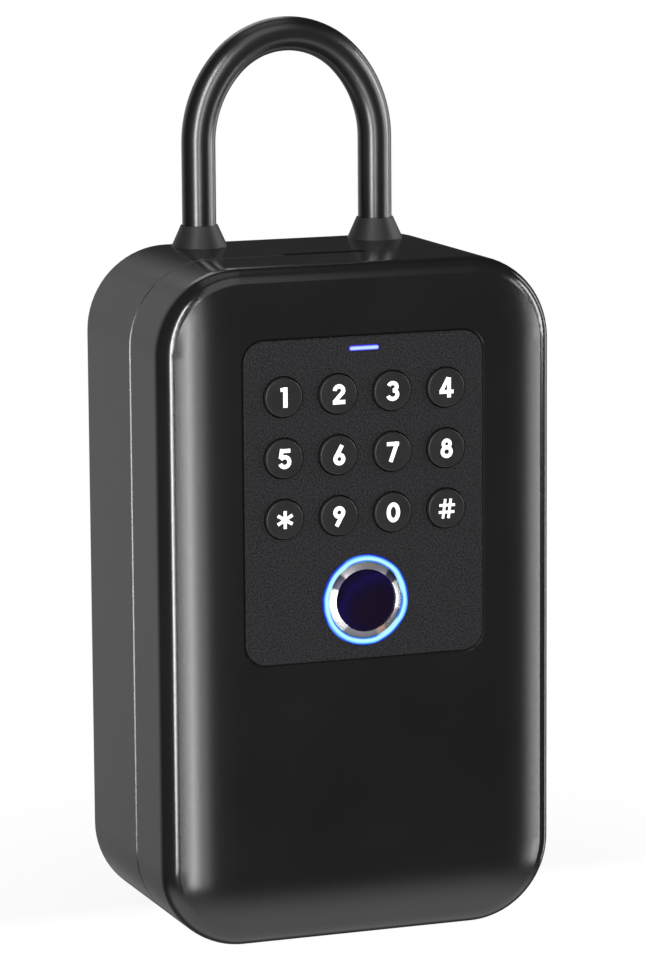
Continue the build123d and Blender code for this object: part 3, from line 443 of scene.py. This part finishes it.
def make_finishes():
    """One material for each material slot of the record."""
    reader = node_centre("sensor_window")
    return {
        "shell_paint": shell_paint(),
        "shackle_gloss": shackle_gloss(),
        "boot_rubber": moulded("boot_rubber", (0.022, 0.022, 0.0225), 0.45, 0.5, 0.015, specular=0.6),
        "seal_rubber": moulded("seal_rubber", (0.018, 0.018, 0.018), 0.7, 0.4, 0.02, specular=0.3),
        "panel_plastic": panel_plastic(),
        "key_plastic": key_plastic(cad_low.y),
        "light_plastic": light_plastic(node_centre("status_light")),
        "ring_plastic": ring_plastic(reader),
        "bezel_steel": bezel_steel(reader),
        "window_plastic": window_plastic(reader),
        "mat_silicone": moulded("mat_silicone", (0.3, 0.31, 0.32), 0.55, 0.5, 0.01, specular=0.35),
        "circuit_board": circuit_board(),
        "antenna_copper": brushed("antenna_copper", (0.85, 0.42, 0.24), 0.3, (1, 1, 1)),
        "inner_plastic": moulded("inner_plastic", (0.022, 0.022, 0.023), 0.45, 0.5, 0.01),
        "cover_plastic": moulded("cover_plastic", (0.03, 0.03, 0.031), 0.52, 0.3, 0.02, specular=0.4),
        "screw_steel": brushed("screw_steel", (0.5, 0.5, 0.5), 0.28, (1, 1, 1)),
        "pin_steel": brushed("pin_steel", (0.55, 0.55, 0.56), 0.22, (0.05, 1, 1)),
        "plate_steel": brushed("plate_steel", (0.36, 0.365, 0.38), 0.4, (0.04, 1, 1)),
        "block_metal": moulded("cast_zinc", (0.26, 0.26, 0.27), 0.55, 0.9, 0.04, metallic=1.0),
        "contact_steel": brushed("contact_steel", (0.7, 0.69, 0.66), 0.22, (1, 1, 0.1)),
        "battery_sleeve": battery_sleeve("battery_1"),
        "gear_brass": brushed("gear_brass", (0.78, 0.55, 0.24), 0.27, (1, 1, 1)),
        "motor_steel": brushed("motor_steel", (0.55, 0.55, 0.56), 0.26, (0.05, 1, 1)),
        "button_plastic": moulded("button_plastic", (0.5, 0.06, 0.03), 0.4, 0.5, 0.006),
        "socket_steel": brushed("socket_steel", (0.6, 0.6, 0.61), 0.24, (1, 0.1, 1)),
    }


def dress_nodes(made):
    """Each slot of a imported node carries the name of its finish, which may end in a dot and a number."""
    for node in frame["nodes"].values():
        for place_in_mesh, material in enumerate(node.data.materials):
            node.data.materials[place_in_mesh] = made[material.name.split(".")[0]]


# Shapes.


def new_piece(name, points, faces, material, smooth=True):
    mesh = bpy.data.meshes.new(name)
    mesh.from_pydata(points, [], faces)
    mesh.validate()
    mesh.materials.append(material)
    piece = bpy.data.objects.new(name, mesh)
    bpy.context.scene.collection.objects.link(piece)
    for face in mesh.polygons:
        face.use_smooth = smooth
    return piece


def turned(name, profile, centre, front_y, material):
    """A solid of revolution about the Y axis. The profile is radius and depth behind the front."""
    points = []
    faces = []
    for step in range(turn_steps):
        angle = 2 * pi * step / turn_steps
        for radius, depth in profile:
            points.append((centre.x + radius * cos(angle), front_y + depth, centre.z + radius * sin(angle)))
    count = len(profile)
    for step in range(turn_steps):
        here = step * count
        there = (step + 1) % turn_steps * count
        for index in range(count):
            after = (index + 1) % count
            faces.append((here + index, there + index, there + after, here + after))
    piece = new_piece(name, points, faces, material)
    edges = piece.modifiers.new("edges", "EDGE_SPLIT")
    edges.split_angle = sharp_angle
    return piece


def rounded(radius, depth, arc, steps=7):
    """The profile points of a rounded outer edge, from the face to the side."""
    points = []
    for step in range(steps + 1):
        angle = pi / 2 * step / steps
        points.append((radius - arc + arc * sin(angle), depth + arc - arc * cos(angle)))
    return points


def key_cap(name, node, material):
    low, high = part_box(node)
    centre = (low + high) / 2
    depth = high.y - low.y
    profile = [(axis_radius, key_face_depth), (key_radius * 0.5, key_face_depth)]
    profile += rounded(key_radius, key_face_depth, key_edge_radius)
    profile += [
        (key_radius, depth - key_flange_thickness),
        (key_flange_radius, depth - key_flange_thickness),
        (key_flange_radius, depth),
        (axis_radius, depth),
    ]
    piece = turned(name, profile, centre, low.y, material)
    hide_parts(node)
    return piece


def arc(centre_x, centre_z, radius_x, radius_z, start, end):
    """Points of an elliptic arc, from one angle to another in degrees."""
    points = []
    for step in range(arc_steps + 1):
        angle = radians(start + (end - start) * step / arc_steps)
        points.append((centre_x + radius_x * cos(angle), centre_z + radius_z * sin(angle)))
    return points


def flat_stroke(line, width, closed=False):
    """A flat ribbon along a line: its points and its four-sided faces."""
    count = len(line)
    sides = []
    for index, here in enumerate(line):
        before = line[index - 1] if index > 0 or closed else None
        after = line[(index + 1) % count] if index < count - 1 or closed else None
        arriving = (Vector(here) - Vector(before)).normalized() if before else None
        leaving = (Vector(after) - Vector(here)).normalized() if after else None
        along = ((arriving or leaving) + (leaving or arriving)).normalized()
        across = Vector((-along.y, along.x))
        reach = width / 2 / max(0.35, along.dot(leaving or arriving))
        sides.append((Vector(here) + across * reach, Vector(here) - across * reach))
    points = [point for pair in sides for point in pair]
    faces = []
    for index in range(count if closed else count - 1):
        here = index * 2
        there = (index + 1) % count * 2
        faces.append((here, here + 1, there + 1, there))
    return points, faces


def legend_strokes():
    """The strokes of each legend in millimetres about the key's middle: a line, its width and if it closes."""
    stroke = legend_stroke
    edge_z = legend_half_height
    top = edge_z - stroke / 2
    bowl = 0.97
    six = [(arc(0.05, bowl - top, bowl, bowl, 0, 360)[:-1], stroke, True),
           ([(0.72, edge_z), (0.12 - bowl, bowl + 0.32 - top)], stroke, False)]
    return {
        "1": [([(0.3, -edge_z), (0.3, edge_z)], stroke * 1.08, False),
              ([(-0.85, top - 0.06), (0.35, top + 0.02)], stroke * 0.9, False)],
        "2": [(arc(0.08, top - 1.0, 1.02, 1.0, 180, -34), stroke, False),
              ([(0.98, top - 1.42), (-0.95, 0.18 - top)], stroke * 0.98, False),
              ([(-1.42, -top), (1.58, -top)], stroke, False)],
        "3": [(arc(-0.05, top - 0.88, 0.98, 0.88, 160, -86), stroke * 0.96, False),
              (arc(-0.05, 1.0 - top, 1.14, 1.0, 86, -164), stroke * 0.96, False)],
        "4": [([(0.42, edge_z), (-1.25, -0.75)], stroke * 0.9, False),
              ([(-1.72, -0.95), (1.72, -0.95)], stroke * 0.88, False),
              ([(0.62, edge_z), (0.62, -edge_z)], stroke * 0.96, False)],
        "5": [([(-1.0, top), (1.38, top)], stroke * 0.94, False),
              ([(-0.62, edge_z), (-0.98, 0.1)], stroke * 0.94, False),
              (arc(0.0, 1.1 - top, 1.12, 1.12, 146, -160), stroke * 0.98, False)],
        "6": six,
        "7": [([(-1.5, top), (1.42, top)], stroke * 0.94, False),
              ([(1.06, edge_z - 0.1), (-0.62, -edge_z)], stroke, False)],
        "8": [(arc(0, top - 0.82, 0.82, 0.82, 0, 360)[:-1], stroke * 0.88, True),
              (arc(0, 1.02 - top, 1.04, 1.02, 0, 360)[:-1], stroke * 0.94, True)],
        "9": [([(-x, -z) for x, z in line], width, closed) for line, width, closed in six],
        "0": [(arc(0, 0, 1.16, top, 0, 360)[:-1], stroke, True)],
        "star": [([(0, 0), (2.05 * cos(radians(turn)), 2.05 * sin(radians(turn)))], stroke * 0.78, False)
                 for turn in range(30, 390, 60)],
        "hash": [([(-0.98, -2.25), (-0.38, 2.25)], stroke * 0.66, False),
                 ([(0.38, -2.25), (0.98, 2.25)], stroke * 0.66, False),
                 ([(-1.85, 0.8), (2.0, 0.8)], stroke * 0.66, False),
                 ([(-2.0, -0.8), (1.85, -0.8)], stroke * 0.66, False)],
    }


def legend(name, key_node, strokes, material):
    """A legend lies just in front of the key's face, inside the key's own box."""
    low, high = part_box(key_node)
    centre = (low + high) / 2
    points = []
    faces = []
    for line, width, closed in strokes:
        flat, quads = flat_stroke(line, width, closed)
        faces += [tuple(len(points) + corner for corner in quad) for quad in quads]
        points += [(centre.x + x * MM, low.y + legend_depth, centre.z + z * MM) for x, z in flat]
    return new_piece(name, points, faces, material, smooth=False)


def make_keys(made):
    light = legend_light()
    for mark, strokes in legend_strokes().items():
        node = f"key_{mark}"
        body = node_body(node)
        cap = key_cap(f"key_cap_{mark}", node, made["key_plastic"])
        mark_piece = legend(f"key_legend_{mark}", node, strokes, light)
        for piece in (cap, mark_piece):
            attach(piece, body)


def node_body(node):
    for body, members in frame["record"]["behaviour"]["bodies"].items():
        if node in members:
            return body
    raise ValueError(node)


def make_bezel(made):
    """The steel ring round the window, with a sloped inner edge and a rounded outer one."""
    low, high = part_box("sensor_bezel")
    centre = (low + high) / 2
    depth = high.y - low.y
    profile = [
        (bezel_inner_radius, depth),
        (bezel_inner_radius, bezel_slope),
        (bezel_inner_radius + bezel_slope, 0.0),
    ]
    profile += rounded(bezel_outer_radius, bezel_face_fall, bezel_edge_radius)
    profile.append((bezel_outer_radius, depth))
    piece = turned("reader_bezel", profile, centre, low.y, made["bezel_steel"])
    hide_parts("sensor_bezel")
    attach(piece, node_body("sensor_bezel"))


# The studio.


def make_camera():
    """The camera looks at its target from the front left and from a little above."""
    back = Vector((
        -sin(camera_azimuth) * cos(camera_elevation),
        -cos(camera_azimuth) * cos(camera_elevation),
        sin(camera_elevation),
    ))
    level = Vector((0, 0, 1)).cross(back).normalized()
    upright = back.cross(level)
    right = cos(camera_roll) * level + sin(camera_roll) * upright
    up = -sin(camera_roll) * level + cos(camera_roll) * upright
    data = bpy.data.cameras.new("camera")
    data.lens = camera_lens
    data.sensor_width = sensor_width
    data.clip_start = clip_near
    data.clip_end = clip_far
    camera = bpy.data.objects.new("camera", data)
    turn = Matrix((right, up, back)).transposed().to_4x4()
    camera.matrix_world = Matrix.Translation(camera_target + back * camera_distance) @ turn
    bpy.context.scene.collection.objects.link(camera)
    bpy.context.scene.camera = camera


def soft_lamp(name, plan_angle, half_angle, low_z, high_z, strength):
    """An upright soft box that faces the middle of the scene."""
    angle = radians(plan_angle)
    position = Vector((-sin(angle), -cos(angle), 0)) * lamp_distance
    data = bpy.data.lights.new(name, "AREA")
    data.shape = "RECTANGLE"
    data.size = 2 * lamp_distance * tan(radians(half_angle))
    data.size_y = high_z - low_z
    data.energy = strength * data.size * data.size_y * pi
    lamp = bpy.data.objects.new(name, data)
    lamp.rotation_euler = (-position).to_track_quat("-Z", "Y").to_euler()
    lamp.location = position + Vector((0, 0, (low_z + high_z) / 2))
    bpy.context.scene.collection.objects.link(lamp)


def high_lamp(name, position, size, strength):
    """A square soft box above the object, tilted towards it."""
    data = bpy.data.lights.new(name, "AREA")
    data.size = size
    data.energy = strength * size ** 2 * pi
    lamp = bpy.data.objects.new(name, data)
    lamp.location = position
    lamp.rotation_euler = (camera_target - lamp.location).to_track_quat("-Z", "Y").to_euler()
    bpy.context.scene.collection.objects.link(lamp)


def make_lamps():
    for name, values in upright_lamps.items():
        soft_lamp(name, *values)
    for name, values in high_lamps.items():
        high_lamp(name, *values)


def mirrored_room(world):
    """How bright each direction looks in a mirror: a white sweep at the back left, dimmer near the ground."""
    direction = add(world, "ShaderNodeTexCoord").outputs["Generated"]
    parts = add(world, "ShaderNodeSeparateXYZ", {0: direction})
    x, y, z = parts.outputs
    leftward = rescale(world, x, -0.24, 0.26, 0.41, 0.03)
    low_white = rescale(world, x, -0.3, 0.1, 0.37, 0.7)
    low = rescale(world, z, -0.08, 0.1, 1.0, 0.0)
    low_share = calculate(world, "MULTIPLY", low, calculate(world, "SUBTRACT", low_white, leftward))
    low_share = calculate(world, "MULTIPLY", low_share, rescale(world, x, 0.1, 0.3, 1.0, 0.0))
    sweep = calculate(world, "ADD", leftward, low_share)
    sweep = calculate(world, "MULTIPLY", sweep, rescale(world, y, 0.55, 0.85, 0.04, 1.0))
    sweep = calculate(world, "MULTIPLY", sweep, rescale(world, z, -0.5, -0.17, 0.15, 1.0))
    ground = rescale(world, z, -0.7, -0.4, 0.85, 0.0)
    ground = calculate(world, "MULTIPLY", ground, rescale(world, y, 0.1, 0.5, 1.0, 0.1))
    return calculate(world, "ADD", sweep, ground)


def background(world, strength):
    return add(world, "ShaderNodeBackground", {"Color": (1, 1, 1, 1), "Strength": strength}).outputs[0]


def make_world():
    """White to the camera, a mirrored room to glossy and see-through rays, and a dim room to the rest."""
    world = bpy.data.worlds.new("studio")
    world.use_nodes = True
    bpy.context.scene.world = world
    world.node_tree.nodes.clear()
    rays = add(world, "ShaderNodeLightPath")
    shiny = calculate(world, "ADD", rays.outputs["Is Glossy Ray"], rays.outputs["Is Transmission Ray"], True)
    room = background(world, room_level)
    mirrored = background(world, mirrored_room(world))
    seen = add(world, "ShaderNodeMixShader", {0: shiny, 1: room, 2: mirrored}).outputs[0]
    white = background(world, 1.0)
    final = add(world, "ShaderNodeMixShader", {0: rays.outputs["Is Camera Ray"], 1: seen, 2: white})
    output = add(world, "ShaderNodeOutputWorld")
    link(world, final.outputs[0], output.inputs["Surface"])


def half_disc():
    """Points and faces of a level half disc behind the edge of the floor."""
    points = [(0, floor_edge_y, 0)]
    faces = []
    row = turn_steps + 1
    for ring in range(1, floor_rings + 1):
        reach = floor_radius * ring / floor_rings
        for step in range(row):
            angle = pi * step / turn_steps
            points.append((reach * cos(angle), floor_edge_y + reach * sin(angle), 0))
    for step in range(turn_steps):
        faces.append((0, 1 + step, 2 + step))
        for ring in range(floor_rings - 1):
            inner = 1 + ring * row + step
            faces.append((inner, inner + row, inner + row + 1, inner + 1))
    return points, faces


def pale_floor():
    """Matt and nearly white next to the object, and plain white further out and at the front edge."""
    material, shader = new_material("pale_floor")
    shader.inputs["Base Color"].default_value = (0.9, 0.9, 0.9, 1)
    shader.inputs["Roughness"].default_value = 1.0
    shader.inputs["Specular IOR Level"].default_value = 0.0
    spot = place(material)
    length = add(material, "ShaderNodeVectorMath", {0: spot}, operation="LENGTH").outputs["Value"]
    outer = rescale(material, length, floor_shadow_start, floor_shadow_end, 0.9, 1.0)
    depth = add(material, "ShaderNodeSeparateXYZ", {0: spot}).outputs[1]
    front = rescale(material, depth, floor_edge_y, floor_edge_y + floor_edge_fade, 1.0, 0.0)
    white_share = calculate(material, "MAXIMUM", outer, front)
    white = add(material, "ShaderNodeEmission", {"Color": (1, 1, 1, 1), "Strength": 1.0}).outputs[0]
    mixed = add(material, "ShaderNodeMixShader", {0: white_share, 1: shader.outputs[0], 2: white}).outputs[0]
    link(material, mixed, material.node_tree.nodes["Material Output"].inputs["Surface"])
    return material


def make_floor():
    """The floor keeps the shadow. It ends under the hinge, as the open door hangs lower than the base."""
    points, faces = half_disc()
    floor = new_piece("floor", points, faces, pale_floor())
    floor.location.z = -floor_drop
    floor.visible_glossy = False


finishes = make_finishes()
dress_nodes(finishes)
make_keys(finishes)
make_bezel(finishes)
make_camera()
make_lamps()
make_world()
make_floor()

bpy.context.scene.view_settings.view_transform = "Standard"
